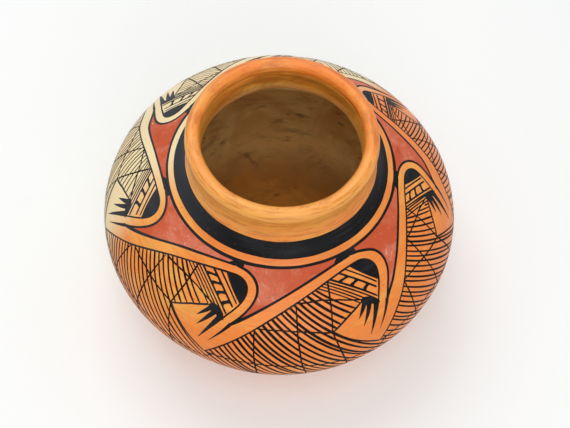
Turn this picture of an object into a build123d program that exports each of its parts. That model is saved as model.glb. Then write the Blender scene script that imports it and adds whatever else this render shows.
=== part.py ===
from build123d import *
import math
import os

# A wide, low coil-built jar with a rolled lip. All sizes are in millimetres.
# The origin is the centre of the flat that the jar stands on, with Z up the jar's own axis.

# The outside of the body.
BODY_WIDTH = 190.0           # across the belly, at the widest circle
BELLY_RISE = 57.0            # from the ground up to the widest circle
SHOULDER_RISE = 43.0         # from the widest circle up to where the neck begins to sweep up
FOOT_WIDTH = 54.0            # across the flat that the jar stands on
NECK_START_WIDTH = 112.0     # across the circle where the shoulder turns into the neck
SHOULDER_SLOPE = 25.5        # degrees above level, where the shoulder meets the neck

# How strongly each end of a body curve holds its direction, as a share of the curve's rise or run.
FOOT_PULL_SHARE = 0.40       # of the run from the foot to the belly
LOWER_BELLY_PULL_SHARE = 0.40    # of the belly's rise
UPPER_BELLY_PULL_SHARE = 0.56    # of the shoulder's rise
NECK_PULL_SHARE = 0.29       # of the run from the belly to the neck

# The neck and the lip.
NECK_SWEEP_RADIUS = 19.0     # hollow curve from the shoulder up into the upright collar
COLLAR_RISE = 7.9            # from the end of that curve up to the middle of the lip
LIP_SWELL = 1.2              # how far the rolled lip stands out from each face of the wall
LIP_FLARE_SHARE = 0.58       # of the swell: how far the roll leans outwards
LIP_UNDERCUT_RADIUS = 1.6    # soft crease under the lip, outside
LIP_THROAT_RADIUS = 2.4      # soft crease under the lip, inside

# The clay wall, and the courses of coil that it is raised from.
WALL = 5.2
SCARF_ANGLE = 28.0           # degrees that a joint between two courses leans from square to the wall
BASE_PAT_REACH = 26.0        # how far the moulded base runs up the wall, measured along it
LOWER_COURSES = 4
SHOULDER_COURSES = 4
NECK_COURSES = 2
OVERRUN = 4.0                # how far a cutting outline runs past the wall it cuts


def run_and_rise(angle, length):
    """A step of this length at this angle above level."""
    return Vector(length * math.cos(math.radians(angle)), length * math.sin(math.radians(angle)))


def body_curves(inset):
    """The edge of half a section, this far inside the outer face, from the axis to the lip."""
    belly = Vector(BODY_WIDTH / 2 - inset, BELLY_RISE)
    foot = Vector(FOOT_WIDTH / 2, inset)
    square_in = run_and_rise(-90 - SHOULDER_SLOPE, inset)
    neck_start = Vector(NECK_START_WIDTH / 2, BELLY_RISE + SHOULDER_RISE) + square_in
    flat = Line((0, inset), foot)
    lower = Bezier(
        foot,
        foot + Vector(FOOT_PULL_SHARE * (belly.X - foot.X), 0),
        belly - Vector(0, LOWER_BELLY_PULL_SHARE * (belly.Y - foot.Y)),
        belly,
    )
    neck_pull = NECK_PULL_SHARE * (belly.X - neck_start.X)
    upper = Bezier(
        belly,
        belly + Vector(0, UPPER_BELLY_PULL_SHARE * (neck_start.Y - belly.Y)),
        neck_start + run_and_rise(-SHOULDER_SLOPE, neck_pull),
        neck_start,
    )
    uphill = run_and_rise(180 - SHOULDER_SLOPE, NECK_SWEEP_RADIUS)
    sweep = JernArc(neck_start, uphill, NECK_SWEEP_RADIUS + inset, SHOULDER_SLOPE - 90)
    collar = Line(sweep @ 1, (sweep @ 1) + Vector(0, COLLAR_RISE))
    return flat, lower, upper, sweep, collar


def lip_circle(collar):
    """Middle and radius of the rolled lip."""
    radius = WALL / 2 + LIP_SWELL
    top = collar @ 1
    return Vector(top.X - WALL / 2 + LIP_FLARE_SHARE * LIP_SWELL, top.Y), radius


def crease_under_lip(collar, wall_face_x):
    """The point where the roll of the lip meets one face of the collar."""
    middle, radius = lip_circle(collar)
    drop = math.sqrt(radius ** 2 - (wall_face_x - middle.X) ** 2)
    return Vector(wall_face_x, middle.Y - drop)


def soften(section, point, radius):
    """Round the corner of the section that lies nearest to the point."""
    corner = section.vertices().sort_by_distance((point.X, point.Y, 0))[0]
    return fillet(corner, radius)


def wall_section():
    """Half the section of the whole wall between its two faces, with the lip rolled on top."""
    outside = body_curves(0)
    inside = body_curves(WALL)
    rim = Line(outside[-1] @ 1, inside[-1] @ 1)
    axis = Line(outside[0] @ 0, inside[0] @ 0)
    collar = outside[-1]
    middle, radius = lip_circle(collar)
    section = make_face([*outside, rim, *inside, axis]) + Pos(middle.X, middle.Y) * Circle(radius)
    outer_face = (collar @ 1).X
    section = soften(section, crease_under_lip(collar, outer_face), LIP_UNDERCUT_RADIUS)
    return soften(section, crease_under_lip(collar, outer_face - WALL), LIP_THROAT_RADIUS)


def seam_lengths(curves):
    """How far along the outer edge each joint between two courses lies."""
    flat, lower, upper, sweep, collar = curves
    pat_end = flat.length + BASE_PAT_REACH
    belly = flat.length + lower.length
    neck_start = belly + upper.length
    crease = crease_under_lip(collar, (collar @ 0).X)
    lip_start = neck_start + sweep.length + (crease - collar @ 0).Y
    stretches = (
        (pat_end, belly, LOWER_COURSES),
        (belly, neck_start, SHOULDER_COURSES),
        (neck_start, lip_start, NECK_COURSES),
    )
    lengths = [pat_end]
    for start, end, courses in stretches:
        lengths += [start + (end - start) * step / courses for step in range(1, courses + 1)]
    return lengths


def seam(edge, length):
    """The two ends of a slanting joint, run past both faces of the wall, outer end first."""
    outer = edge.position_at(length, PositionMode.LENGTH)
    along = edge.tangent_at(length, PositionMode.LENGTH)
    inward = Vector(-along.Y, along.X)
    lean = math.tan(math.radians(SCARF_ANGLE))
    across = inward - along * lean
    return outer - across * OVERRUN, outer + across * (WALL + OVERRUN)


def course_outlines(curves):
    """One closed outline for each course, which shares its slanting sides with its neighbours."""
    edge = Wire(curves)
    seams = [seam(edge, length) for length in seam_lengths(curves)]
    lip_middle, lip_radius = lip_circle(curves[-1])
    reach = lip_radius + OVERRUN
    low = -OVERRUN
    outlines = [[(0, low), (seams[0][0].X, low), seams[0][0], seams[0][1], (0, seams[0][1].Y)]]
    for below, above in zip(seams, seams[1:]):
        outlines.append([below[0], above[0], above[1], below[1]])
    last_outer, last_inner = seams[-1]
    outlines.append([
        last_outer,
        (lip_middle.X + reach, last_outer.Y),
        (lip_middle.X + reach, lip_middle.Y + reach),
        (lip_middle.X - reach, lip_middle.Y + reach),
        (lip_middle.X - reach, last_inner.Y),
        last_inner,
    ])
    return outlines


def course_names():
    """A name for each course, from the ground up."""
    names = ["base_pat"]
    names += [f"lower_coil_{number + 1}" for number in range(LOWER_COURSES)]
    names += [f"shoulder_coil_{number + 1}" for number in range(SHOULDER_COURSES)]
    names += [f"neck_coil_{number + 1}" for number in range(NECK_COURSES)]
    return names + ["lip_coil"]


def build_courses():
    """Every course as a solid ring, turned about the jar's axis."""
    curves = body_curves(0)
    section = wall_section()
    courses = {}
    for name, outline in zip(course_names(), course_outlines(curves)):
        piece = section & Face(Wire.make_polygon(outline))
        courses[name] = revolve(Plane.XZ * piece, Axis.Z)
    return courses


os.makedirs("parts", exist_ok=True)
for node, solid in build_courses().items():
    solid.label = node
    export_step(solid, f"parts/{node}.step")
    print(node, round(solid.volume), "cubic mm", "valid" if solid.is_valid else "NOT VALID")
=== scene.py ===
import math
from typing import NamedTuple

import bpy
import numpy as np
from mathutils import Matrix, Vector
from mathutils.geometry import delaunay_2d_cdt


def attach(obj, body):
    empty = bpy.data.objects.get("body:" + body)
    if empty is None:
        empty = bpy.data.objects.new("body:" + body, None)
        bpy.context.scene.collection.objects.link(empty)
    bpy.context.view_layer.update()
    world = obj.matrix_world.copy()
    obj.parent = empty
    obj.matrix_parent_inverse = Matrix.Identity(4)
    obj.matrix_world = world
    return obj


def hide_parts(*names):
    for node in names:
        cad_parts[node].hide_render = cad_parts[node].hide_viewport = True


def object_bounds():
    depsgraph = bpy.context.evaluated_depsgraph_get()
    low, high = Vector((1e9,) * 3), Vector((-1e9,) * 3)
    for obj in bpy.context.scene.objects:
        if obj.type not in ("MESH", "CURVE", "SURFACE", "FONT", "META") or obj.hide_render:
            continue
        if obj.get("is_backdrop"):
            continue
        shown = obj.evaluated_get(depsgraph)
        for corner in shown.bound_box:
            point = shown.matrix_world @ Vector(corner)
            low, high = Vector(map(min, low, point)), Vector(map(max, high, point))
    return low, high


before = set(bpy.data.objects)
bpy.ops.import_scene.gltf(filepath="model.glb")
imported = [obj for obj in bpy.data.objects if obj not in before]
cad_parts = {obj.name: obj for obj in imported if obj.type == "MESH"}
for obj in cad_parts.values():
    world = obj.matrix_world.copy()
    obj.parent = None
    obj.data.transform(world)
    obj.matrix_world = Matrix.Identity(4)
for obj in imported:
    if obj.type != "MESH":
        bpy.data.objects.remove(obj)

bl_info = {
    "name": "Painted Coil-Built Jar",
    "version": (1, 0, 0),
    "blender": (4, 5, 0),
    "location": "View3D > Sidebar > Jar",
    "description": "Builds the burnished wall, the scraped inside and the brushwork of a painted clay jar",
    "category": "Add Mesh",
}

CAD_LOW, CAD_HIGH = (list(corner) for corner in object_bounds())
MM = 0.001
CM = 0.01


def a_length(name, description, millimetres):
    """A size in the panel, given in millimetres and kept in metres."""
    return bpy.props.FloatProperty(
        name=name, description=description, default=millimetres * MM, min=0.0, unit="LENGTH", precision=5)


def an_angle(name, description, degrees):
    """An angle in the panel, given in degrees."""
    return bpy.props.FloatProperty(
        name=name, description=description, default=math.radians(degrees), subtype="ANGLE")


def a_share(name, description, default):
    """A plain number between nought and one, or a little more."""
    return bpy.props.FloatProperty(name=name, description=description, default=default, min=0.0, max=4.0)


def a_power(name, description, watts):
    """A lamp's power in the panel."""
    return bpy.props.FloatProperty(name=name, description=description, default=watts, min=0.0, unit="POWER")


def a_colour(name, description, *screen):
    """A colour in the panel, given in 0 to 255 screen values and kept as the shaders take it."""
    shares = [part / 255 for part in screen]
    default = [s / 12.92 if s <= 0.04045 else ((s + 0.055) / 1.055) ** 2.4 for s in shares]
    return bpy.props.FloatVectorProperty(
        name=name, description=description, default=default, size=3, min=0.0, max=1.0, subtype="COLOR")


class JarShape(bpy.types.PropertyGroup):
    """The turned form of the wall."""
    belly_width: a_length("Belly width", "Across the widest circle", (CAD_HIGH[0] - CAD_LOW[0]) / MM)
    belly_rise: a_length("Belly rise", "Height of the widest circle", 57)
    shoulder_rise: a_length("Shoulder rise", "From the widest circle to the neck", 43)
    foot_width: a_length("Foot width", "Across the flat it stands on", 54)
    neck_start_width: a_length("Neck start width", "Where shoulder turns into neck", 112)
    shoulder_slope: an_angle("Shoulder slope", "Above level, where shoulder meets neck", 25.5)
    neck_sweep: a_length("Neck sweep", "Radius of the hollow curve at the neck", 19)
    collar_rise: a_length("Collar rise", "From the sweep to the middle of the lip", 7.9)
    wall: a_length("Wall", "Thickness of the clay", 5.2)
    lip_swell: a_length("Lip swell", "Of the lip past each face of the wall", 1.2)
    lip_flare: a_share("Lip flare", "Outward lean of the lip, of its swell", 0.58)
    lip_undercut: a_length("Lip undercut", "Radius of the crease outside", 1.6)
    lip_throat: a_length("Lip throat", "Radius of the crease inside", 2.4)
    throat_ridge: a_length("Throat ridge", "Soft ridge where the slip ends inside", 0.85)
    throat_fill: a_length("Throat fill", "Slip built up above that ridge", 0.40)
    waviness: a_length("Waviness", "Of the hand-smoothed outside", 0.16)
    scraping: a_length("Scraping", "Depth of the scraper's marks inside", 0.22)


class JarBrushwork(bpy.types.PropertyGroup):
    """The painted figures."""
    wings: bpy.props.IntProperty(name="Wings", description="Winged figures round the jar", default=7, min=3)
    hatch_lines: bpy.props.IntProperty(
        name="Hatch lines", description="Fine lines to one wing", default=21, min=4)
    outline_width: a_length("Outline width", "Brush width of the wings' outlines", 1.28)
    hatch_width: a_length("Hatch width", "Brush width of the fine lines", 1.05)
    net_width: a_length("Net width", "Brush width of the crossing net", 0.82)
    ring_width: a_length("Ring width", "Width of the black ring under the neck", 1.5)
    neck_band_rise: a_length("Neck band rise", "Width of the pale ring below it", 3.25)
    neck_band_width: a_length("Neck band width", "Width of the black neck band", 8.9)
    ring_circle_width: a_length("Ring circle width", "Across the pale ring's outer edge", 113.8)
    frame_drop: a_share("Frame drop", "Lower frame line, in drops from ring to belly", 1.44)
    paint_lift: a_length("Paint lift", "How proud the paint lies", 0.045)


class JarColours(bpy.types.PropertyGroup):
    """Slips, paints and clay."""
    slip_orange: a_colour("Orange slip", "The fired slip at its warmest", 244, 136, 50)
    # The gold slip is also laid on as painted highlight on the lip and the front of the neck, and as painted
    # sheen towards the left.
    slip_gold_and_highlight: a_colour("Gold slip", "The slip's yellow clouds", 248, 172, 78)
    # The cream slip is laid on paler towards the back and left.
    slip_cream: a_colour("Cream slip", "Where the fire left it pale", 250, 230, 180)
    slip_brown: a_colour("Brown slip", "Darker brushed patches", 186, 92, 22)
    black_paint: a_colour("Black paint", "Thick mineral paint", 8, 8, 10)
    # The slate also stands for a painted sheen on the black towards the left.
    slate_and_sheen: a_colour("Slate paint", "The same paint where it is thin", 50, 52, 57)
    hatch_paint: a_colour("Line paint", "Paint of the fine lines", 12, 7, 5)
    dry_paint: a_colour("Dry line paint", "The fine lines where the brush ran dry", 84, 50, 32)
    red_paint: a_colour("Red paint", "Red clay fields", 202, 86, 48)
    rose_paint: a_colour("Rose paint", "The red where it is thin and rubbed", 224, 136, 108)
    scuffed_paint: a_colour("Scuffed paint", "Pale rub marks on the red", 238, 178, 156)
    deep_red_paint: a_colour("Deep red paint", "The red where strokes lie over one another", 158, 58, 36)
    clay_wall: a_colour("Scraped clay", "The bare wall inside", 242, 210, 138)
    # The darker, more orange clay towards the bottom inside.
    clay_floor: a_colour("Deeper clay", "The bottom inside", 202, 136, 54)
    # The smudge colour also makes a patchy ring of painted shade in the corner where the floor meets the wall.
    clay_smudge_and_shade: a_colour("Smudged clay", "Dark smears and scratches inside", 96, 52, 16)
    throat_gold: a_colour("Gold throat", "Inside the mouth, between its streaks", 238, 176, 70)
    # The brown also makes painted shade in the crease under the lip inside, mixed with its streaks.
    throat_brown: a_colour("Brown throat", "Dark streaks under the lip inside", 140, 68, 10)
    # The pale colour is a painted highlight on the ridge below the throat.
    pale_ridge_highlight: a_colour("Pale throat", "The rubbed ridge below the throat", 232, 192, 122)


class JarStudio(bpy.types.PropertyGroup):
    """Camera, light and floor."""
    camera_distance: a_length("Camera distance", "From the middle of the belly", 475)
    camera_rise: an_angle("Camera rise", "Angle above level", 60.852)
    camera_roll: an_angle("Camera roll", "Turn about the line of sight", 3.071)
    lens: bpy.props.FloatProperty(
        name="Lens", description="For a 36 mm wide frame", default=54.67, subtype="DISTANCE_CAMERA")
    aim_side: a_length("Aim aside", "Aim to the right of the axis", 3.23)
    aim_drop: a_length("Aim drop", "Aim below the widest circle", 9.81)
    floor_colour: a_colour("Floor", "The pale sweep", 242.13, 243.80, 242.73)
    floor_glow: a_share("Floor glow", "Lift towards white where the floor is seen", 0.093)
    clear_from: a_length("Clear from", "Where the floor begins to turn plain white", 260)
    clear_to: a_length("Clear to", "From where on the floor is plain white", 620)
    sky_strength: a_share("Sky strength", "Even light from all round", 0.55)
    back_power: a_power("Back lamp power", "Soft lamp behind and to the left", 4.0)
    top_power: a_power("Top lamp power", "Soft lamp above the mouth", 2.4)
    front_power: a_power("Front lamp power", "Low soft lamp in front", 2.8)


def settings(name):
    """One of the add-on's groups of settings."""
    return getattr(bpy.context.scene, name)


def cubic(start, pull, push, end, steps):
    """A cubic curve between two ends with a handle for each."""
    t = np.linspace(0.0, 1.0, steps)[:, None]
    start, pull, push, end = (np.asarray(point, float) for point in (start, pull, push, end))
    return (1 - t) ** 3 * start + 3 * (1 - t) ** 2 * t * pull + 3 * (1 - t) * t * t * push + t ** 3 * end


def arc(centre, radius, first, last, steps):
    """A round stretch between two angles in degrees."""
    turn = np.radians(np.linspace(first, last, steps))
    return np.stack([centre[0] + radius * np.cos(turn), centre[1] + radius * np.sin(turn)], 1)


# Handles of the wall's curves, as shares of a curve's run or rise, and the points along each curve.
FOOT_PULL, LOWER_BELLY_PULL, UPPER_BELLY_PULL, NECK_PULL = 0.40, 0.40, 0.56, 0.29
BODY_STEPS, SWEEP_STEPS, CREASE_STEPS, LIP_STEPS = 300, 120, 40, 160


def face_sections(shape, inset):
    """Stretches up one face of the wall, from the axis to the middle of the lip."""
    lean = shape.shoulder_slope
    belly = np.array([shape.belly_width / 2 - inset, shape.belly_rise])
    foot = np.array([shape.foot_width / 2, inset])
    inward = np.array([math.sin(lean), math.cos(lean)])
    downhill = np.array([math.cos(lean), -math.sin(lean)])
    neck = np.array([shape.neck_start_width / 2, shape.belly_rise + shape.shoulder_rise]) - inset * inward
    run, rise = belly - foot
    lower = cubic(foot, foot + [FOOT_PULL * run, 0], belly - [0, LOWER_BELLY_PULL * rise], belly, BODY_STEPS)
    upper = cubic(belly, belly + [0, UPPER_BELLY_PULL * (neck[1] - belly[1])],
                  neck + NECK_PULL * (belly[0] - neck[0]) * downhill, neck, BODY_STEPS)
    radius = shape.neck_sweep + inset
    sweep = arc(neck + radius * inward, radius, 270 - math.degrees(lean), 180, SWEEP_STEPS)
    collar = np.array([sweep[-1], sweep[-1] + [0, shape.collar_rise]])
    return {"flat": np.array([[0, inset], foot]), "lower": lower, "upper": upper, "sweep": sweep,
            "collar": collar}


def crease(lip, roll, face, side, radius):
    """Centre of the soft crease between the lip's roll and a wall face, and its angle on the roll."""
    x = face + side * radius
    z = lip[1] - math.sqrt((roll + radius) ** 2 - (x - lip[0]) ** 2)
    return np.array([x, z]), math.degrees(math.atan2(z - lip[1], x - lip[0]))


def straight_rise(value, start, span):
    """From nought to one over a span."""
    return np.clip((value - start) / span, 0, 1)


# Waves of the hand-smoothed wall: how many to a turn, phase, change of phase for each cm, and height.
WALL_WAVES = ((2, 0.6, 0.21, 0.9), (5, 2.1, -0.53, 0.5), (9, -1.0, 0.9, 0.3), (14, 0.0, 2.2, 0.18))


class WallLine:
    """The wall's section as one line: up the outside, over the lip, and down the inside."""

    def __init__(self):
        self.shape = shape = settings("jar_shape")
        outside, inside = face_sections(shape, 0.0), face_sections(shape, shape.wall)
        roll = shape.wall / 2 + shape.lip_swell
        face, top = outside["collar"][1]
        lip = np.array([face - shape.wall / 2 + shape.lip_flare * shape.lip_swell, top])
        out_centre, out_angle = crease(lip, roll, face, 1, shape.lip_undercut)
        in_centre, in_angle = crease(lip, roll, face - shape.wall, -1, shape.lip_throat)
        in_angle %= 360
        outside["collar"][1][1] = out_centre[1]
        inside["collar"][1][1] = in_centre[1]
        sections = dict(outside)
        sections["undercut"] = arc(out_centre, shape.lip_undercut, 180, 180 + out_angle, CREASE_STEPS)
        sections["lip"] = arc(lip, roll, out_angle, in_angle, LIP_STEPS)
        sections["throat"] = arc(in_centre, shape.lip_throat, in_angle - 180, 0, CREASE_STEPS)
        for name in reversed(outside):
            sections["inner_" + name] = inside[name][::-1]
        self.points = np.concatenate([[[0.0, 0.0]], *(section[1:] for section in sections.values())])
        self.length = np.concatenate([[0.0], np.cumsum(np.hypot(*np.diff(self.points, axis=0).T))])
        self.start, self.end, last = {}, {}, 0
        for name, section in sections.items():
            self.start[name] = self.length[last]
            last += len(section) - 1
            self.end[name] = self.length[last]
        self.belly = self.start["upper"]
        way = np.gradient(self.points, self.length, axis=0)
        way /= np.hypot(*way.T)[:, None]
        self.normal = np.stack([way[:, 1], -way[:, 0]], 1)

    def radius(self, length):
        """Distance from the axis."""
        return np.interp(length, self.length, self.points[:, 0])

    def length_at_radius(self, radius):
        """Where the shoulder or the neck's outside has this radius."""
        pick = (self.length > self.belly) & (self.length < self.end["sweep"])
        return np.interp(-radius, -self.points[pick, 0], self.length[pick])

    def rows(self, counts):
        """Lengths along the line for the rows of a mesh, from how many there are to each stretch."""
        lengths = [np.linspace(self.start[name], self.end[name], count, endpoint=False)
                   for name, count in counts.items()]
        return np.concatenate([*lengths, [self.end[list(counts)[-1]]]])

    def relief(self, angle, length):
        """How far the worked clay stands off its true line."""
        cm = length / CM
        waves = sum(height * np.sin(count * angle + phase + run * cm)
                    for count, phase, run, height in WALL_WAVES)
        away = straight_rise(length, 34 * MM, 20 * MM) * straight_rise(self.length[-1] - length, 0, 40 * MM)
        marks = np.sin(21 * cm + 2.5 * np.sin(2 * angle) + 1.5 * np.sin(3 * angle + cm)) * (
            0.6 + 0.4 * np.sin(4 * angle + 0.8 * cm))
        lumps = np.sin(3 * angle + 1.1 * cm) + 0.7 * np.sin(7 * angle - 1.7 * cm + 2)
        within = straight_rise(length, self.end["inner_collar"], 4 * MM)
        worked = waves * self.shape.waviness + within * self.shape.scraping * (marks + 0.8 * lumps)
        ridge_at = self.start["inner_sweep"] + (7 + 0.6 * np.sin(3 * angle + 1)) * MM
        ridge = np.exp(-(((length - ridge_at) / (2.6 * MM)) ** 2))
        filled = straight_rise(length, self.start["throat"], 1.8 * MM)
        filled = filled * straight_rise(ridge_at - length, 0, 3 * MM)
        return worked * away + ridge * self.shape.throat_ridge + filled * self.shape.throat_fill

    def place(self, angle, length, lift=0.0):
        """Points in space, from their angles round the jar and their lengths along the line."""
        out = lift + self.relief(angle, length)
        r, z = (np.interp(length, self.length, self.points[:, axis])
                + np.interp(length, self.length, self.normal[:, axis]) * out for axis in (0, 1))
        return np.stack([r * np.cos(angle), r * np.sin(angle), z], -1)


def new_piece(name, points, faces, material, bake_map):
    """A smooth mesh object that rides on the jar."""
    mesh = bpy.data.meshes.new(name)
    mesh.from_pydata(points.tolist(), [], faces)
    mesh.validate()
    mesh.shade_smooth()
    layer = mesh.uv_layers.new(name="OFBake")
    layer.data.foreach_set("uv", np.asarray(bake_map, np.float32).ravel())
    mesh.materials.append(material)
    piece = bpy.data.objects.new(name, mesh)
    bpy.context.scene.collection.objects.link(piece)
    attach(piece, "root")
    return piece


SKIN_COLUMNS = 288
OUTSIDE_ROWS = {"flat": 8, "lower": 74, "upper": 54, "sweep": 24, "collar": 4, "undercut": 7, "lip": 30}
INSIDE_ROWS = {"throat": 8, "inner_collar": 6, "inner_sweep": 26, "inner_upper": 50, "inner_lower": 64,
               "inner_flat": 8}
AT_AXIS = 1e-6      # a row with a smaller radius is a point


def turned_skin(name, row_counts, material):
    """A skin turned all the way round the axis, closed by a point where it meets the axis."""
    wall = WallLine()
    lengths = wall.rows(row_counts)
    angles = np.linspace(0, 2 * math.pi, SKIN_COLUMNS, endpoint=False)
    points = wall.place(*np.meshgrid(angles, lengths)).reshape(-1, 3)
    share = (lengths - lengths[0]) / (lengths[-1] - lengths[0])
    pole = wall.radius(lengths) < AT_AXIS
    faces, corners = [], []
    for row in range(len(lengths) - 1):
        low, high = row * SKIN_COLUMNS, (row + 1) * SKIN_COLUMNS
        below, above = share[row], share[row + 1]
        for column in range(SKIN_COLUMNS):
            after = (column + 1) % SKIN_COLUMNS
            left, middle, right = ((column + part) / SKIN_COLUMNS for part in (0, 0.5, 1))
            ring = [(low + column, left, below), (low + after, right, below),
                    (high + after, right, above), (high + column, left, above)]
            if pole[row]:
                ring[:2] = [(low, middle, below)]
            elif pole[row + 1]:
                ring[2:] = [(high, middle, above)]
            faces.append([corner[0] for corner in ring])
            corners += [corner[1:] for corner in ring]
    used = sorted({index for face in faces for index in face})
    renumber = {index: count for count, index in enumerate(used)}
    faces = [[renumber[index] for index in face] for face in faces]
    return new_piece(name, points[used], faces, material, corners)


# The pattern's chart gives a point of a wing in repeats from its lobe and in drops from the ring to the belly.
FIRST_WING = -154.2     # degrees round the jar
WING_LEANS = (0.0, 5.4, 8.2, 6.8, 0.4, 1.1, 1.7)    # degrees that each wing stands past its even place
SLANT = 0.775           # of the fine lines, in repeats to a drop
TIP_DROP = 0.885
FIELD_SIDE = -0.255     # where one wing's field of fine lines ends and the next wing's begins
SLOT_END = -0.15
WEDGE_SIDE = ((-0.300, 0.428), (-0.404, 0.495), (-0.508, 0.587))
WEDGE_FOOT = ((-0.508, 0.587), (-0.43, 0.70), (-0.34, 0.79), (-0.253, TIP_DROP))
# Slanting lines from the black tip's edge to the first fine lines, each with its share of the outline's width.
TIP_EDGE = ((-0.283, 0.126), (-0.120, 0.332))
LADDER_RIGHT = ((-0.365, 0.143), (-0.150, 0.382))
LADDER_LEFT = ((-0.445, 0.166), (-0.180, 0.450))
LAST_SLANT = ((-0.552, 0.207), (-0.300, 0.430))
SLANTING_LINES = (
    (((-0.312, 0.130), (-0.130, 0.347)), 0.62),
    (LADDER_RIGHT, 0.75),
    (LADDER_LEFT, 0.78),
    (((-0.475, 0.176), (-0.195, 0.470)), 0.62),
    (((-0.500, 0.185), (-0.262, 0.408)), 0.55),
    (((-0.525, 0.195), (-0.285, 0.414)), 0.52),
    (LAST_SLANT, 0.52),
)
RUNG_SHAPE = ((0.0, -0.03), (0.35, -0.06), (0.78, -0.065), (1.0, -0.125), (1.0, 0.02), (0.62, 0.004),
              (0.22, 0.022), (0.0, 0.085))
RUNGS = {3: (0.18, 0.43, 0.71), 4: (0.15, 0.36, 0.58, 0.80)}
FEATHER_ROOT = ((-0.300, 0.428), (-0.280, 0.398), (-0.252, 0.402), (-0.228, 0.418), (-0.192, 0.468),
                (-0.184, 0.512), (-0.228, 0.500), (-0.237, 0.482), (-0.262, 0.476), (-0.285, 0.458))
FEATHERS = (
    (2.7 * MM, ((-0.279, 0.445), (-0.300, 0.480), (-0.325, 0.515), (-0.346, 0.552))),
    (2.8 * MM, ((-0.250, 0.462), (-0.275, 0.520), (-0.303, 0.575), (-0.330, 0.632))),
    (3.0 * MM, ((-0.208, 0.484), (-0.238, 0.560), (-0.272, 0.650), (-0.302, 0.745))),
)
NET_LINES = (
    ((-0.475, 0.18), (-0.490, 0.38), (-0.508, 0.587), (-0.475, 0.80), (-0.45, 1.0), (-0.43, 1.44)),
    ((-0.720, 0.308), (-0.720, 0.58), (-0.705, 0.86), (-0.68, 1.02), (-0.66, 1.44)),
    ((-0.985, 0.527), (-0.975, 0.77), (-0.95, 1.0), (-0.93, 1.44)),
    ((-0.710, 0.295), (-0.550, 0.30), (-0.42, 0.335), (-0.285, 0.405)),
    ((-0.975, 0.51), (-0.800, 0.522), (-0.66, 0.545), (-0.508, 0.587)),
    ((-1.255, TIP_DROP), (-0.95, 0.875), (-0.70, 0.89), (-0.45, 0.95), (-0.255, 0.97), (-0.20, TIP_DROP)),
    ((-1.20, 1.16), (-0.93, 1.17), (-0.67, 1.20), (-0.44, 1.24), (-0.20, 1.16)),
)


class Hand(NamedTuple):
    """How one wing differs from the rest, because each was painted by eye."""
    swell: float = 0.0
    swell_from: float = -0.45
    tail: float = 0.0
    rise: float = 0.0
    lift: float = 0.0
    rungs: int = 3
    weight: float = 0.93
    slot: float = -0.36


HANDS = (
    Hand(swell=0.055, tail=0.008, lift=0.004, weight=0.68),
    Hand(rungs=4, weight=0.95, slot=-0.29),
    Hand(swell=0.022, swell_from=-0.10, tail=0.018, rise=-0.01, weight=1.24, slot=-0.385),
    Hand(swell=0.012, swell_from=-0.30, rise=0.05, lift=0.011),
    Hand(swell=0.055, rise=0.075, lift=0.011, weight=0.74),
    Hand(swell=0.02, swell_from=-0.30, tail=0.01, rungs=4, weight=0.65),
    Hand(swell=0.04, swell_from=-0.35, rise=0.05, weight=0.55),
)


def hand_of(wing):
    """The hand that painted a wing."""
    return HANDS[int(wing) % len(HANDS)]


def eased(value, low, high):
    """From nought to one between two values, gently; from one to nought where high is the lower."""
    share = np.clip((value - low) / (high - low), 0, 1)
    return share * share * (3 - 2 * share)


def by_hand(turn, drop):
    """Moves points of the chart the way the nearest wing's painter did."""
    wing = np.floor(turn + 0.6).astype(int)
    near = turn - wing
    swell, swell_from, tail, rise, lift = np.array(HANDS)[wing % len(HANDS), :5].T
    aside = eased(near, 0.39, -0.05) * (
        swell * eased(near, swell_from, -0.02) * eased(drop, 1.05, 0.15)
        + tail * eased(near, -0.55, -0.10) * eased(drop, 0.35, 0.55) * eased(drop, 1.1, 0.8))
    up = (rise * eased(near, -0.58, -0.30) * eased(near, 0.05, -0.12) * eased(drop, 0.15, 0.38)
          * eased(drop, 1.0, 0.6)
          + lift * eased(near, -0.58, -0.25) * eased(near, 0.25, -0.05) * eased(drop, 0.6, 0.15))
    return turn + aside, drop - up


def before_hand(turn, drop):
    """The points of the chart that by_hand moves to these ones."""
    plain_turn, plain_drop = turn, drop
    for _ in range(8):
        moved_turn, moved_drop = by_hand(plain_turn, plain_drop)
        plain_turn, plain_drop = plain_turn + turn - moved_turn, plain_drop + drop - moved_drop
    return plain_turn, plain_drop


def chain(*points, steps=20):
    """A smooth line through cubic pieces: end, handle, handle, end, handle, handle, end and so on."""
    pieces = [cubic(*points[k:k + 4], steps)[:-1] for k in range(0, len(points) - 1, 3)]
    return np.concatenate([*pieces, [points[-1]]])


def inner_outline(steps=20):
    """From the tip of the wing before, up the long leg and round the lobe's inside to the long feather."""
    return chain((FIELD_SIDE - 1, TIP_DROP), (-0.965, 0.40), (-0.555, 0.123), (-0.20, 0.124),
                 (-0.125, 0.124), (-0.078, 0.17), (-0.078, 0.235),
                 (-0.078, 0.30), (-0.12, 0.37), (-0.17, 0.45),
                 (-0.215, 0.535), (-0.265, 0.64), (-0.303, 0.745), steps=steps)


# The leg's upper edge, from the corner of the red field to the top of the lobe.
LEG = chain((-1.140, 0.526), (-0.945, 0.325), (-0.626, 0.056), (-0.21, 0.053))
# Over the lobe and down its outside to the corner of the next red field.
LOBE = chain((-0.21, 0.053), (-0.10, 0.053), (0.0, 0.12), (0.0, 0.225),
             (0.0, 0.31), (-0.075, 0.43), (-0.140, 0.526))
# The black spike that hangs from the corner of the red field.
SPIKE = chain((-0.148, 0.515), (-0.172, 0.575), (-0.213, 0.66), (-0.249, 0.748),
              (-0.199, 0.66), (-0.158, 0.59), (-0.118, 0.512))


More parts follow.
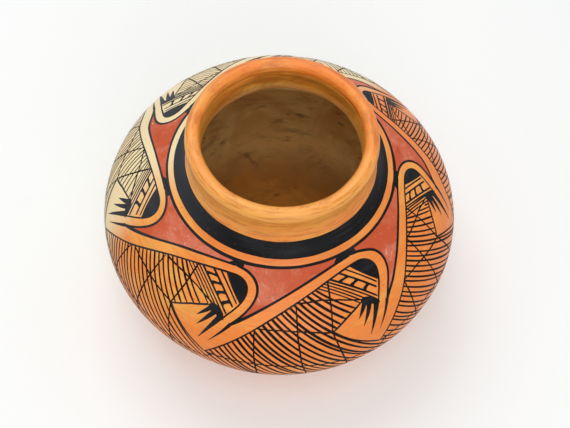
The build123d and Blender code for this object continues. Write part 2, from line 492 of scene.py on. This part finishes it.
def tip_outline():
    """The black part of the leg and lobe, past the slanting edge of the tip."""
    fine = inner_outline(steps=80)
    (left, top), (right, bottom) = TIP_EDGE
    past_edge = (fine[:, 0] - left) * (bottom - top) > (fine[:, 1] - top) * (right - left)
    return fine[past_edge & (fine[:, 1] < 0.40)]


def field_outline(frame_drop):
    """The part of one repeat that the fine lines fill."""
    leg = inner_outline()
    last_line = np.array(LAST_SLANT) - (0.020, 0)
    leg = leg[: int(np.argmax(leg[:, 0] > last_line[0, 0]))]
    foot = [(FIELD_SIDE, frame_drop), (FIELD_SIDE - 1, frame_drop)]
    return np.concatenate([leg, last_line, WEDGE_SIDE, chain(*WEDGE_FOOT), foot])


def rung_outline(left, right, share):
    """One stepped rung of the ladder between two straight lines, this share of the way down them."""
    def along(line, share):
        shares, chart = line
        return np.array([np.interp(share, shares, chart[:, side]) for side in (0, 1)])

    return np.array([(1 - across) * along(left, share + down) + across * along(right, share + 0.10 + down)
                     for across, down in RUNG_SHAPE])


def inside_outline(outline, x, y):
    """Which points lie inside a closed outline."""
    within = np.zeros(np.shape(x), bool)
    for (x0, y0), (x1, y1) in zip(outline, np.roll(outline, -1, 0)):
        if y0 != y1:
            within ^= ((y0 > y) != (y1 > y)) & (x < (x1 - x0) * (y - y0) / (y1 - y0) + x0)
    return within


def strips(count, rows):
    """Faces between neighbouring rows of points, with this many points to a row."""
    return [(k, k + 1, k + 1 + count, k + count)
            for row in range(rows - 1) for k in range(row * count, (row + 1) * count - 1)]


HAND_SEED = 11
ANY_PHASE = 6.28                # a random phase lies between nought and this
BAND_STEPS = 360
EDGE_WAVES = (3, 7, 16, 29)     # to a turn, in the hand-painted edge of a band


class Brush:
    """Flat brushwork laid on the outside of the wall, gathered into one mesh."""

    def __init__(self, lift_share=1.0):
        self.wall, self.work = WallLine(), settings("jar_brushwork")
        self.lift = self.work.paint_lift * lift_share
        self.ring = self.wall.length_at_radius(self.work.ring_circle_width / 2)
        self.reach = self.ring - self.wall.belly
        self.points, self.faces, self.count = [], [], 0
        self.hand = np.random.default_rng(HAND_SEED)

    def chart(self, path, wing=0, moved=True):
        """Angles and lengths of a path that is given in repeats and drops."""
        turn, drop = np.array(path, float).T
        turn = turn + wing
        if moved:
            turn, drop = by_hand(turn, drop)
        whole = np.floor(turn).astype(int)
        here, there = (np.array(WING_LEANS)[(whole + ahead) % len(WING_LEANS)] for ahead in (0, 1))
        lean = here + (there - here) * eased(turn, whole, whole + 1)
        degrees = FIRST_WING + turn * 360 / self.work.wings + lean
        return np.stack([np.radians(degrees), self.ring - drop * self.reach], 1)

    def straight(self, path, wing):
        """A line that looks straight from above, run a little past both ends: shares of the way, and points."""
        chart = self.chart(path, wing)
        r = self.wall.radius(chart[:, 1])
        ends = np.stack([r * np.cos(chart[:, 0]), r * np.sin(chart[:, 0])], 1)
        share = np.linspace(-0.2, 1.2, 29)[:, None]
        x, y = (ends[0] + share * (ends[1] - ends[0])).T
        middle = chart[:, 0].mean()
        angle = middle + (np.arctan2(y, x) - middle + math.pi) % (2 * math.pi) - math.pi
        return share[:, 0], np.stack([angle, self.wall.length_at_radius(np.hypot(x, y))], 1)

    def even(self, chart, step):
        """The path with points about a step apart on the clay, each one's share of the way, and the run."""
        r = self.wall.radius(chart[:, 1])
        runs = np.hypot(np.diff(chart[:, 0]) * (r[1:] + r[:-1]) / 2, np.diff(chart[:, 1]))
        run = np.concatenate([[0.0], np.cumsum(runs)])
        share = np.linspace(0, 1, max(3, math.ceil(run[-1] / step) + 1))
        even = np.stack([np.interp(share * run[-1], run, chart[:, side]) for side in (0, 1)], 1)
        return even, share, run[-1]

    def keep(self, chart, faces, rise=0.0):
        """Adds a patch to the mesh."""
        self.points.append(np.column_stack([chart, np.full(len(chart), self.lift + rise)]))
        self.faces += [tuple(index + self.count for index in face) for face in faces]
        self.count += len(chart)

    def stroke(self, chart, width, ends=(0.7, 0.5), step=1.4 * MM, rise=0.0, unsteady=0.10):
        """One brush line. The width may be a number or a list of widths along the way."""
        middle, share, run = self.even(np.asarray(chart, float), step)
        r = self.wall.radius(middle[:, 1])
        way = np.stack([np.gradient(middle[:, 0]) * r, np.gradient(middle[:, 1])], 1)
        way /= np.maximum(np.hypot(*way.T), 1e-12)[:, None]
        widths = np.interp(share, np.linspace(0, 1, np.size(width)), np.atleast_1d(width))
        beat, phase = self.hand.uniform(5, 9) * MM, self.hand.uniform(0, ANY_PHASE)
        widths = widths * (1 + unsteady * np.sin(phase + share * run / beat))
        for end, past in zip(ends, (share, 1 - share)):
            widths = widths * (end + (1 - end) * straight_rise(past * run, 0, MM))
        aside = np.stack([-way[:, 1] / r, way[:, 0]], 1) * widths[:, None] / 2
        self.keep(np.concatenate([middle - aside, middle, middle + aside]), strips(len(middle), 3), rise)

    def fill(self, chart, step=0.8 * MM):
        """A solid patch inside a closed outline."""
        edge = self.even(np.concatenate([chart, chart[:1]]), step)[0][:-1]
        centre = edge.mean(0)
        scale = [float(self.wall.radius(centre[1])), 1]
        flat = (edge - centre) * scale
        gap = 1.7 * step
        low, high = flat.min(0), flat.max(0)
        x, y = np.meshgrid(np.arange(low[0], high[0], gap), np.arange(low[1], high[1], gap))
        x = x + (np.arange(len(x)) % 2)[:, None] * gap / 2
        inner = inside_outline(flat, x, y)
        x, y = x[inner], y[inner]
        if len(x):
            away = np.min(np.hypot(x[:, None] - flat[:, 0], y[:, None] - flat[:, 1]), 1)
            x, y = x[away > 0.6 * gap], y[away > 0.6 * gap]
        spots = np.concatenate([flat, np.stack([x, y], 1)])
        loop = [(k, (k + 1) % len(flat)) for k in range(len(flat))]
        found = delaunay_2d_cdt([Vector(spot) for spot in spots.tolist()], loop, [], 1, 1e-9)
        self.keep(np.array([tuple(spot) for spot in found[0]]) / scale + centre, found[2])

    def ring_band(self, low, high, rows, seed, rough):
        """A band all the way round between two lengths, with hand-painted edges."""
        angle = np.linspace(0, 2 * math.pi, BAND_STEPS + 1)
        hand = np.random.default_rng(seed)
        edges = []
        for length in (low, high):
            phases = hand.uniform(0, ANY_PHASE, len(EDGE_WAVES))
            wander = sum(np.sin(waves * angle + phase) / (1 + step)
                         for step, (waves, phase) in enumerate(zip(EDGE_WAVES, phases)))
            edges.append(length + wander * rough)
        share = np.linspace(0, 1, rows)[:, None]
        lengths = edges[0] * (1 - share) + edges[1] * share
        self.keep(np.stack([np.tile(angle, rows), lengths.ravel()], 1), strips(BAND_STEPS + 1, rows))

    def piece(self, name, material):
        """The finished mesh."""
        chart = np.concatenate(self.points)
        low, high = chart.min(0), chart.max(0)
        share = (chart[:, :2] - low[:2]) / (high[:2] - low[:2])
        faces = []
        for face in self.faces:
            ring = chart[list(face), :2]
            after = np.roll(ring, -1, 0)
            turn = (ring[:, 0] * after[:, 1] - after[:, 0] * ring[:, 1]).sum()
            faces.append(face if turn > 0 else face[::-1])
        corners = [share[index] for face in faces for index in face]
        return new_piece(name, self.wall.place(*chart.T), faces, material, corners)


def paint_neck_bands(black):
    """The black band on the neck's sweep and the black rings above and below the wings."""
    brush = Brush()
    work, ring = brush.work, brush.ring
    low = ring + work.neck_band_rise
    foot = ring - work.frame_drop * brush.reach
    brush.ring_band(low, low + work.neck_band_width, 10, seed=3, rough=0.12 * MM)
    brush.ring_band(ring - work.ring_width, ring, 4, seed=5, rough=0.09 * MM)
    brush.ring_band(foot - work.ring_width, foot, 4, seed=9, rough=0.1 * MM)
    brush.piece("neck_bands", black)


def paint_wings(black):
    """Outlines, black tips, ladders, feathers and spikes of all the wings."""
    brush = Brush()
    work, width = brush.work, brush.work.outline_width
    outlines = (
        (inner_outline(), (0.60, 0.66, 0.7, 0.7, 0.7, 0.75, 0.7, 0.3), 0.0),
        (LEG, (1.25, 1.1, 1.0, 0.95, 0.9, 0.9), 0.01 * MM),
        (LOBE, (0.9, 1.0, 1.05, 1.0, 0.95, 0.9), 0.01 * MM))
    crown = np.concatenate([LEG, LOBE[1:30]])
    for wing in range(work.wings):
        hand = hand_of(wing)
        for path, widths, rise in outlines:
            brush.stroke(brush.chart(path, wing), width * np.array(widths), rise=rise)
        brush.fill(brush.chart(tip_outline(), wing), step=1.0 * MM)
        brush.fill(brush.chart(SPIKE, wing))
        for line, share in SLANTING_LINES:
            shares, chart = brush.straight(line, wing)
            brush.stroke(chart[(shares > -0.01) & (shares < 1.01)], width * share, ends=(0.9, 0.8))
        sides = [brush.straight(line, wing) for line in (LADDER_LEFT, LADDER_RIGHT)]
        for share in RUNGS[hand.rungs]:
            brush.fill(rung_outline(*sides, share))
        brush.fill(brush.chart(FEATHER_ROOT, wing), step=0.9 * MM)
        for root, path in FEATHERS:
            widths = root * np.array([1, 0.83, 0.63, 0.38, 0.06])
            brush.stroke(brush.chart(chain(*path), wing), widths, ends=(1, 1), step=0.9 * MM, unsteady=0.04)
        brush.stroke(brush.chart(WEDGE_SIDE, wing), work.net_width * 1.2)
        brush.stroke(brush.chart(chain(*WEDGE_FOOT), wing), work.net_width * 1.1)
        edge = [(turn, np.interp(turn, *crown.T)) for turn in np.linspace(hand.slot, SLOT_END, 12)]
        brush.fill(brush.chart([(hand.slot + 0.06, 0.014), *edge, (SLOT_END, 0.014)], wing))
    brush.piece("wing_outlines", black)


def paint_red_fields(red):
    """The red fields between the ring and the wings."""
    brush = Brush(0.5)
    lobe = LOBE - (1, 0)
    lobe = lobe[lobe[:, 0] > SLOT_END - 1.02]
    for wing in range(brush.work.wings):
        end = hand_of(wing).slot + 0.075
        ring = [(turn, 0.004) for turn in np.linspace(lobe[0, 0], end, 12)]
        outline = np.concatenate([ring, LEG[LEG[:, 0] < end][::-1], lobe[::-1]])
        brush.fill(brush.chart(outline, wing), step=1.4 * MM)
    brush.piece("red_fields", red)


# Drops at which the fine lines may begin and about which they fan out, their step, and the fewest steps of one.
HATCH_TOP, HATCH_PIVOT, HATCH_STEP, SHORTEST_LINE = 0.10, 0.22, 0.004, 10


def paint_hatching(thin_black):
    """The fine parallel lines and the net drawn across them."""
    brush = Brush(0.8)
    work, uniform = brush.work, brush.hand.uniform
    field = field_outline(work.frame_drop)
    steep_from = LAST_SLANT[0][0] - SLANT * LAST_SLANT[0][1]
    drops = np.arange(HATCH_TOP, work.frame_drop + HATCH_STEP, HATCH_STEP)
    for number in range(work.wings * work.hatch_lines):
        start = (number - 0.40) / work.hatch_lines + uniform(-0.0045, 0.0045)
        beside = (steep_from - start + 0.5) % 1 - 0.5
        reach, end = (0.24, 1.0) if beside > 0 else (0.30, 0.8)
        steeper = 0.20 * max(0, 1 - abs(beside) / reach) ** 2
        slope = SLANT + uniform(-0.012, 0.012)
        lean = steeper * (np.minimum(drops, 0.5) - HATCH_PIVOT) * eased(drops, end, 0.48)
        turns = start + SLANT * HATCH_PIVOT + slope * (drops - HATCH_PIVOT) + lean
        plain_turns, plain_drops = before_hand(turns, drops)
        wing = np.ceil(plain_turns - FIELD_SIDE)
        within = inside_outline(field, plain_turns - wing, plain_drops)
        marks = np.flatnonzero(np.diff(np.concatenate([[0], within.astype(int), [0]])))
        for first, last in zip(marks[::2], marks[1::2]):
            if last - first < SHORTEST_LINE:
                continue
            bend = uniform(-0.004, 0.004) * np.sin(np.linspace(0, math.pi, last - first))
            path = np.stack([turns[first:last] + bend, drops[first:last]], 1)
            weight = hand_of(wing[(first + last) // 2]).weight
            brush.stroke(brush.chart(path, moved=False), work.hatch_width * weight * uniform(0.88, 1.12),
                         step=2.2 * MM, ends=(0.9, 0.6))
    for wing in range(work.wings):
        for line in NET_LINES:
            path = np.array(line) + uniform(-0.006, 0.006, (len(line), 2))
            path[:, 1] = np.minimum(path[:, 1], work.frame_drop)
            brush.stroke(brush.chart(path, wing), work.net_width, step=2.0 * MM, rise=0.012 * MM)
    brush.piece("fine_hatching", thin_black)


class Amount:
    """A number that varies over a surface, from the output of a node."""

    def __init__(self, nodes, socket):
        self.nodes, self.socket = nodes, socket

    def maths(self, kind, other=0):
        """One step of arithmetic with another amount or a plain number."""
        node = self.nodes.add("ShaderNodeMath", {0: self, 1: other}, operation=kind)
        return Amount(self.nodes, node.outputs[0])

    def __add__(self, other):
        return self.maths("ADD", other)

    def __sub__(self, other):
        return self.maths("SUBTRACT", other)

    def __mul__(self, other):
        return self.maths("MULTIPLY", other)

    def ramp(self, low, high, to_low=0, to_high=1, easing="SMOOTHSTEP"):
        """The amount carried from one span to another, and held at its ends."""
        spans = {"Value": self, "From Min": low, "From Max": high, "To Min": to_low, "To Max": to_high}
        node = self.nodes.add("ShaderNodeMapRange", spans, interpolation_type=easing)
        return Amount(self.nodes, node.outputs[0])


class Nodes:
    """Short ways to write the nodes of a material or a world."""

    def __init__(self, tree):
        self.tree = tree

    def add(self, kind, inputs=None, **choices):
        """A new node, with its choices and what goes into it."""
        node = self.tree.nodes.new(kind)
        for name, choice in choices.items():
            setattr(node, name, choice)
        for name, value in (inputs or {}).items():
            self.put(node.inputs[name], value)
        return node

    def put(self, socket, value):
        """Feeds a socket with an amount, a node's output, a colour of the settings or a plain value."""
        value = getattr(value, "socket", value)
        if isinstance(value, str):
            value = getattr(settings("jar_colours"), value)
        if isinstance(value, bpy.types.NodeSocket):
            self.tree.links.new(value, socket)
        else:
            socket.default_value = (*value, 1) if socket.type == "RGBA" else value

    def seen_directly(self, low, high):
        """The higher value for the camera, for mirror-like rays and for rays through glass, else the lower."""
        path = self.add("ShaderNodeLightPath").outputs
        seen, *others = (Amount(self, path[f"Is {kind} Ray"]) for kind in ("Camera", "Glossy", "Transmission"))
        for other in others:
            seen = seen.maths("MAXIMUM", other)
        return seen.ramp(0, 1, low, high, "LINEAR")


# How far the coordinates are stretched for streaks that run round the jar: round it, up it and out.
STREAKS_ROUND, STREAKS_UP, STREAKS_OUT = 0.22, 2.6, -1.3


class Recipe(Nodes):
    """A material made from noise in the object's own coordinates."""

    def __init__(self, name):
        self.material = bpy.data.materials.new(name)
        self.material.use_nodes = True
        super().__init__(self.material.node_tree)
        self.place = self.add("ShaderNodeTexCoord").outputs["Object"]

    def axes(self):
        """The three coordinates, one by one, in metres."""
        return [Amount(self, axis) for axis in self.add("ShaderNodeSeparateXYZ", {0: self.place}).outputs]

    def cloud(self, where, scale, detail, roughness, warp):
        """Noise at a place."""
        inputs = {"Vector": where.outputs[0], "Scale": scale, "Detail": detail, "Roughness": roughness,
                  "Distortion": warp}
        return Amount(self, self.add("ShaderNodeTexNoise", inputs).outputs["Fac"])

    def noise(self, scale, detail, roughness=0.5, stretch=(1, 1, 1), warp=0):
        """Noise in every direction, with the coordinates stretched."""
        where = self.add("ShaderNodeMapping", {"Vector": self.place, "Scale": stretch})
        return self.cloud(where, scale, detail, roughness, warp)

    def turned(self, scale, detail, roughness, warp=0):
        """Streaks that run round the jar, on the walls and on the bottom alike."""
        x, y, z = self.axes()
        out = (x * x + y * y).maths("SQRT")
        stretched = {0: x * STREAKS_ROUND, 1: y * STREAKS_ROUND, 2: z * STREAKS_UP + out * STREAKS_OUT}
        return self.cloud(self.add("ShaderNodeCombineXYZ", stretched), scale, detail, roughness, warp)

    def coats(self, colour, *coats):
        """A colour with others laid over it in turn, each with its share."""
        for share, over in coats:
            colours = {"Factor": share, 6: colour, 7: over}
            colour = self.add("ShaderNodeMix", colours, data_type="RGBA").outputs[2]
        return colour

    def bump(self, height, depth, strength=0.5):
        """Relief too fine to model."""
        inputs = {"Height": height, "Distance": depth, "Strength": strength}
        return self.add("ShaderNodeBump", inputs).outputs[0]

    def finish(self, colour, roughness, shine, **others):
        """The finished material."""
        inputs = {"Base Color": colour, "Roughness": roughness, "Specular IOR Level": shine, **others}
        for name, value in inputs.items():
            self.put(self.tree.nodes["Principled BSDF"].inputs[name], value)
        return self.material


# In the recipes, ramps over x, y and z go by metres, with the front at -Y and Z up.
def slip_colour(recipe):
    """The fired slip: orange to the front and right, gold in clouds, cream at the left and behind. Some of the
    gold is painted highlight and painted sheen, and the deeper orange low on the belly is partly painted shade.
    """
    x, y, z = recipe.axes()
    clouds = recipe.noise(17, 4, 0.58, (1, 1, 1.6), warp=0.4)
    wide = recipe.noise(9, 2)
    streaks = recipe.turned(105, 5, 0.66, warp=0.25)
    fine = recipe.turned(330, 4, 0.66)
    to_back_left = x * -7 + y * 8 + (wide - 0.5) * 1.1
    under_neck = z.ramp(0.113, 0.101)
    paleness = to_back_left.ramp(0.1, 0.48) * under_neck * clouds.ramp(0.66, 0.42, 0.68, 1)
    # Painted highlight: more gold up the neck towards the lip. Deeper orange down the belly: partly the slip's
    # own colour, partly painted shade.
    up_neck_highlight, down_belly = z.ramp(0.104, 0.124, 0, 0.045), z.ramp(0.092, 0.07, 0, -0.065)
    # Painted highlight: more gold on the front of the neck and lip, less at the back.
    neck_front_highlight = y.ramp(0.045, -0.055, -0.07, 0.09) * z.ramp(0.102, 0.11)
    # Painted sheen: more gold towards the left.
    left_sheen = x.ramp(0, -0.075, 0, 0.1)
    gold_and_highlights = clouds * 0.62 + streaks * 0.38 + up_neck_highlight + left_sheen + neck_front_highlight + down_belly
    dark = streaks.ramp(0.55, 0.74) * clouds.ramp(0.62, 0.36, 0.25, 0.9) * 0.55
    drawn = fine.ramp(0.46, 0.62, 0, 0.5) * z.ramp(0.098, 0.106, 0.35, 1)
    colour = recipe.coats("slip_orange", (gold_and_highlights.ramp(0.46, 0.66), "slip_gold_and_highlight"), (dark, "slip_brown"),
                          (drawn, "slip_brown"), (paleness, "slip_cream"))
    return colour, streaks, fine


def burnished_slip():
    """Stone-polished slip, streaked by the polishing and lightly pitted."""
    recipe = Recipe("burnished_slip")
    colour, streaks, fine = slip_colour(recipe)
    pits = recipe.noise(640, 2).ramp(0.66, 0.76)
    colour = recipe.coats(colour, (pits.ramp(0, 1, 0, 0.45), "slip_brown"))
    height = streaks * 0.7 - pits * 0.4 + fine * 0.2
    return recipe.finish(colour, streaks.ramp(0.3, 0.75, 0.28, 0.46), 0.44,
                         Normal=recipe.bump(height, 0.16 * MM, 0.7))


def scraped_clay():
    """Bare clay inside, with slip down as far as the throat, painted shade under the lip and in the corner at
    the bottom, and a painted highlight on the pale ridge.
    """
    recipe = Recipe("scraped_clay")
    slip, streaks, _ = slip_colour(recipe)
    _, y, z = recipe.axes()
    smears = recipe.noise(21, 5, 0.62, (1, 1, 1.4), warp=0.7)
    scrapes = recipe.turned(130, 6, 0.72, warp=0.8)
    scratches = recipe.turned(300, 5, 0.68, warp=0.4).ramp(0.52, 0.66)
    broken = recipe.noise(44, 3, 0.6, warp=0.4).ramp(0.42, 0.62)
    rubbed = smears.ramp(0.4, 0.58) * scrapes.ramp(0.4, 0.6, 0.25, 1) * y.ramp(-0.02, 0.03, 0.1, 0.62)
    # Darker brown in the crease under the lip inside: streaks, and painted shade in the crease.
    under_lip_streaks_and_shade = z.ramp(0.115, 0.118) * z.ramp(0.1245, 0.121) * y.ramp(0.012, 0.034)
    # Painted highlight: the pale ridge where the slip ends inside.
    ridge = z.ramp(0.116, 0.111) * smears.ramp(0.35, 0.6, 0.9, 0.35)
    slip = recipe.coats(
        slip, (streaks.ramp(0.36, 0.6, 0.25, 0.9), "throat_gold"), (rubbed, "throat_brown"),
        (under_lip_streaks_and_shade * streaks.ramp(0.36, 0.56) * 0.62, "throat_brown"), (ridge, "pale_ridge_highlight"))
    # Darker, more orange clay towards the bottom inside.
    deep = (z + smears * 0.03).ramp(0.042, 0.024)
    # Painted shade: a patchy dark ring in the corner where the floor meets the wall.
    corner_shade_ring = z.ramp(0.006, 0.01) * z.ramp(0.022, 0.014) * smears.ramp(0.34, 0.62, 0, 0.42)
    clay = recipe.coats(
        "clay_wall", (deep, "clay_floor"), (smears.ramp(0.46, 0.64, 0, 0.5), "clay_floor"),
        (scrapes.ramp(0.46, 0.72, 0, 0.45), "clay_smudge_and_shade"), (scratches * broken * 0.58, "clay_smudge_and_shade"),
        (corner_shade_ring, "clay_smudge_and_shade"))
    slipped = (z + (smears - 0.5) * 0.006).ramp(0.108, 0.1094)
    height = scrapes + smears * 0.5 - scratches * 0.3
    return recipe.finish(recipe.coats(clay, (slipped, slip)), slipped.ramp(0, 1, 0.78, 0.45), 0.25,
                         Normal=recipe.bump(height, 0.4 * MM))


def black_paint():
    """Mineral black, brushed on and rubbed, streaky where it is thin, and turned slate towards the left as a
    painted sheen.
    """
    recipe = Recipe("mineral_black")
    streaks = recipe.turned(75, 5, 0.66, warp=0.2)
    clouds = recipe.noise(34, 4, 0.6, warp=0.3)
    worn = recipe.noise(520, 2).ramp(0.66, 0.76)
    x, _, _ = recipe.axes()
    # Painted sheen: the black turns slate towards the left.
    left = x.ramp(-0.015, -0.058) * streaks.ramp(0.3, 0.6, 0.45, 1)
    thin = (streaks.ramp(0.44, 0.68) * clouds.ramp(0.35, 0.65, 0.2, 1)).maths("MAXIMUM", left)
    colour = recipe.coats("black_paint", (thin, "slate_and_sheen"), (worn.ramp(0, 1, 0, 0.12), "slip_brown"))
    return recipe.finish(colour, streaks.ramp(0.3, 0.7, 0.36, 0.54), 0.12,
                         Normal=recipe.bump(streaks, 0.08 * MM))


def line_paint():
    """The same black thinned for fine lines, browner where the brush ran dry."""
    recipe = Recipe("line_black")
    dry = recipe.noise(210, 3, 0.6)
    colour = recipe.coats("hatch_paint", (dry.ramp(0.48, 0.76, 0, 0.6), "dry_paint"))
    return recipe.finish(colour, dry.ramp(0.3, 0.7, 0.4, 0.56), 0.1, Normal=recipe.bump(dry, 0.04 * MM))


def red_paint():
    """Red clay paint, brushed in and rubbed with a stone."""
    recipe = Recipe("red_clay_paint")
    clouds = recipe.noise(38, 4, 0.6, warp=0.5)
    strokes = recipe.noise(170, 4, 0.62, (0.8, 0.8, 3), warp=0.8)
    specks = recipe.noise(460, 2).ramp(0.62, 0.74)
    rubbed = clouds.ramp(0.4, 0.68) * strokes.ramp(0.35, 0.68, 0.3, 1)
    scuffs = recipe.noise(240, 4, 0.7, (1.6, 0.6, 1), warp=1.2).ramp(0.56, 0.7) * clouds.ramp(0.44, 0.6)
    colour = recipe.coats(
        "red_paint", (rubbed, "rose_paint"), (strokes.ramp(0.54, 0.74, 0, 0.45), "deep_red_paint"),
        (scuffs * 0.6, "scuffed_paint"), (specks.ramp(0, 1, 0, 0.35), "rose_paint"))
    return recipe.finish(colour, strokes.ramp(0.3, 0.7, 0.42, 0.6), 0.25,
                         Normal=recipe.bump(strokes, 0.08 * MM))


def pale_floor(studio):
    """Matt floor that is lifted towards white where it is seen, and turns plain white further out."""
    recipe = Recipe("pale_floor")
    away = recipe.add("ShaderNodeVectorMath", {0: recipe.place}, operation="LENGTH")
    far = Amount(recipe, away.outputs["Value"]).ramp(studio.clear_from, studio.clear_to)
    glow = far.ramp(0, 1, studio.floor_glow, 1, "LINEAR") * recipe.seen_directly(0, 1)
    light = {"Emission Color": (1, 1, 1), "Emission Strength": glow}
    return recipe.finish(recipe.coats(studio.floor_colour, (far, (0, 0, 0))), 0.9, 0, **light)


class JAR_OT_wall(bpy.types.Operator):
    """Build the burnished outside, from the foot over the lip"""
    bl_idname = "mesh.jar_wall"
    bl_label = "Burnished Outside"

    def execute(self, context):
        skin = turned_skin("burnished_outside", OUTSIDE_ROWS, burnished_slip())
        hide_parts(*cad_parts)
        return {"FINISHED"}


class JAR_OT_inside(bpy.types.Operator):
    """Build the inside, slipped down to the throat and scraped below it"""
    bl_idname = "mesh.jar_inside"
    bl_label = "Scraped Inside"

    def execute(self, context):
        turned_skin("scraped_inside", INSIDE_ROWS, scraped_clay())
        return {"FINISHED"}


class JAR_OT_neck_bands(bpy.types.Operator):
    """Paint the black band of the neck and the black rings"""
    bl_idname = "mesh.jar_neck_bands"
    bl_label = "Neck Bands"

    def execute(self, context):
        paint_neck_bands(black_paint())
        return {"FINISHED"}


class JAR_OT_wings(bpy.types.Operator):
    """Paint the outlines, tips, ladders and feathers of the wings"""
    bl_idname = "mesh.jar_wings"
    bl_label = "Wings"

    def execute(self, context):
        paint_wings(bpy.data.materials.get("mineral_black") or black_paint())
        return {"FINISHED"}


class JAR_OT_red_fields(bpy.types.Operator):
    """Paint the red fields under the neck"""
    bl_idname = "mesh.jar_red_fields"
    bl_label = "Red Fields"

    def execute(self, context):
        paint_red_fields(red_paint())
        return {"FINISHED"}


class JAR_OT_hatching(bpy.types.Operator):
    """Draw the fine lines and the net across them"""
    bl_idname = "mesh.jar_hatching"
    bl_label = "Fine Hatching"

    def execute(self, context):
        paint_hatching(line_paint())
        return {"FINISHED"}


FLOOR_REACH = 6.0       # metres from the jar to each side of the floor
FRAME_WIDTH = 36.0      # millimetres, of the camera's sensor
LAMPS = (               # name, place, height on the jar's axis that it is aimed at, and size, in metres
    ("back", (-0.25, 0.55, 1.05), 0.06, 0.8),
    ("top", (0.02, -0.38, 1.15), 0.06, 0.5),
    ("front", (0.22, -1.00, 0.60), 0.08, 0.7),
)


def soft_lamp(name, place, aim_level, size, power):
    """A square area lamp aimed at a point on the jar's axis."""
    data = bpy.data.lights.new(name, "AREA")
    data.shape, data.size, data.energy = "SQUARE", size, power
    lamp = bpy.data.objects.new(name, data)
    lamp.location = place
    lamp.rotation_mode = "QUATERNION"
    lamp.rotation_quaternion = (Vector((0, 0, aim_level)) - Vector(place)).to_track_quat("-Z", "Y")
    bpy.context.scene.collection.objects.link(lamp)


def camera_place(studio, middle):
    """Where the camera stands and how it is turned."""
    rise, turn = studio.camera_rise, studio.camera_roll
    place = middle + studio.camera_distance * Vector((0, -math.cos(rise), math.sin(rise)))
    ahead = (middle + Vector((studio.aim_side, 0, -studio.aim_drop)) - place).normalized()
    right = ahead.cross(Vector((0, 0, 1))).normalized()
    up = right.cross(ahead)
    side = right * math.cos(turn) + up * math.sin(turn)
    over = up * math.cos(turn) - right * math.sin(turn)
    return Matrix.Translation(place) @ Matrix((side, over, -ahead)).transposed().to_4x4()


class JAR_OT_studio(bpy.types.Operator):
    """Set up the floor, the soft light and the camera"""
    bl_idname = "scene.jar_studio"
    bl_label = "Studio"

    def execute(self, context):
        studio, scene = settings("jar_studio"), context.scene
        scene.view_settings.view_transform = "Standard"
        corners = [(x * FLOOR_REACH, y * FLOOR_REACH, 0) for x, y in ((-1, -1), (1, -1), (1, 1), (-1, 1))]
        mesh = bpy.data.meshes.new("floor")
        mesh.from_pydata(corners, [], [(0, 1, 2, 3)])
        mesh.materials.append(pale_floor(studio))
        floor = bpy.data.objects.new("floor", mesh)
        scene.collection.objects.link(floor)
        floor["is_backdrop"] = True

        world = bpy.data.worlds.new("studio")
        scene.world = world
        world.use_nodes = True
        sky = Nodes(world.node_tree)
        back = sky.tree.nodes["Background"]
        sky.put(back.inputs["Color"], (1, 1, 1))
        sky.put(back.inputs["Strength"], sky.seen_directly(studio.sky_strength, 1.0))

        for name, place, aim_level, size in LAMPS:
            soft_lamp(f"{name}_lamp", place, aim_level, size, getattr(studio, f"{name}_power"))

        data = bpy.data.cameras.new("camera")
        data.lens, data.sensor_width, data.clip_start = studio.lens, FRAME_WIDTH, 0.01
        camera = bpy.data.objects.new("camera", data)
        camera.matrix_world = camera_place(studio, Vector((0, 0, settings("jar_shape").belly_rise)))
        scene.collection.objects.link(camera)
        scene.camera = camera
        return {"FINISHED"}


class VIEW3D_PT_jar(bpy.types.Panel):
    """The jar's settings and the steps that build it"""
    bl_label = "Painted Jar"
    bl_idname = "VIEW3D_PT_jar"
    bl_space_type = "VIEW_3D"
    bl_region_type = "UI"
    bl_category = "Jar"

    def draw(self, context):
        for name, group in SETTINGS:
            box = self.layout.box()
            box.label(text=group.__doc__)
            for entry in group.__annotations__:
                box.prop(getattr(context.scene, name), entry)
        for operator in STEPS:
            self.layout.operator(operator.bl_idname)


SETTINGS = (("jar_shape", JarShape), ("jar_brushwork", JarBrushwork), ("jar_colours", JarColours),
            ("jar_studio", JarStudio))
STEPS = (JAR_OT_wall, JAR_OT_inside, JAR_OT_neck_bands, JAR_OT_wings, JAR_OT_red_fields, JAR_OT_hatching,
         JAR_OT_studio)


def register():
    for name, group in SETTINGS:
        bpy.utils.register_class(group)
        setattr(bpy.types.Scene, name, bpy.props.PointerProperty(type=group))
    for operator in STEPS:
        bpy.utils.register_class(operator)
    bpy.utils.register_class(VIEW3D_PT_jar)


def unregister():
    bpy.utils.unregister_class(VIEW3D_PT_jar)
    for operator in reversed(STEPS):
        bpy.utils.unregister_class(operator)
    for name, group in reversed(SETTINGS):
        delattr(bpy.types.Scene, name)
        bpy.utils.unregister_class(group)


def main():
    register()
    bpy.ops.mesh.jar_wall()
    bpy.ops.mesh.jar_inside()
    bpy.ops.mesh.jar_neck_bands()
    bpy.ops.mesh.jar_wings()
    bpy.ops.mesh.jar_red_fields()
    bpy.ops.mesh.jar_hatching()
    bpy.ops.scene.jar_studio()


if __name__ == "__main__":
    main()
